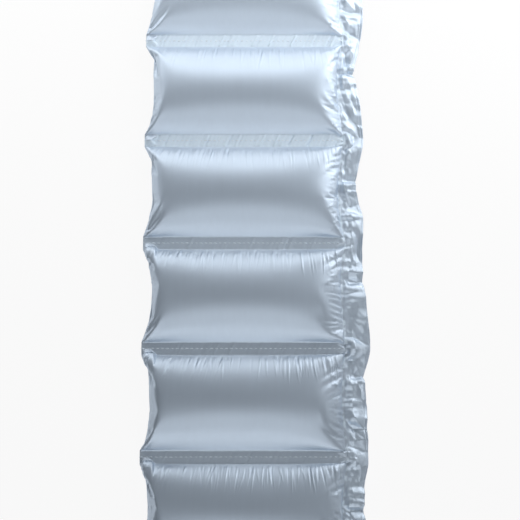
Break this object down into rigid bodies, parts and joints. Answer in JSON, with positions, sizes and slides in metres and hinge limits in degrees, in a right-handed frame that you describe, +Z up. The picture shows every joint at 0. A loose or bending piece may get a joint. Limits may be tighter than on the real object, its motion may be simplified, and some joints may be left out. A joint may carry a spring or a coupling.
{
  "type": "inflated air pillow chain",
  "caption": "Chain of inflated packing air pillows in thin film: crowned pillows joined at flat perforated cross seals, a folded edge on one side and an open creased flap on the other.",
  "frame": {"origin": "middle of the chain's underside as it lies flat", "axes": "+X from the folded edge to the open flap, +Y along the chain, +Z up"},
  "size_m": [0.2, 0.561, 0.0305],
  "materials": {
    "film": "thin frosted silvery film with a soft sheen"
  },
  "bodies": {
    "root": {"air_pillow_chain": "film"}
  },
  "joints": []
}
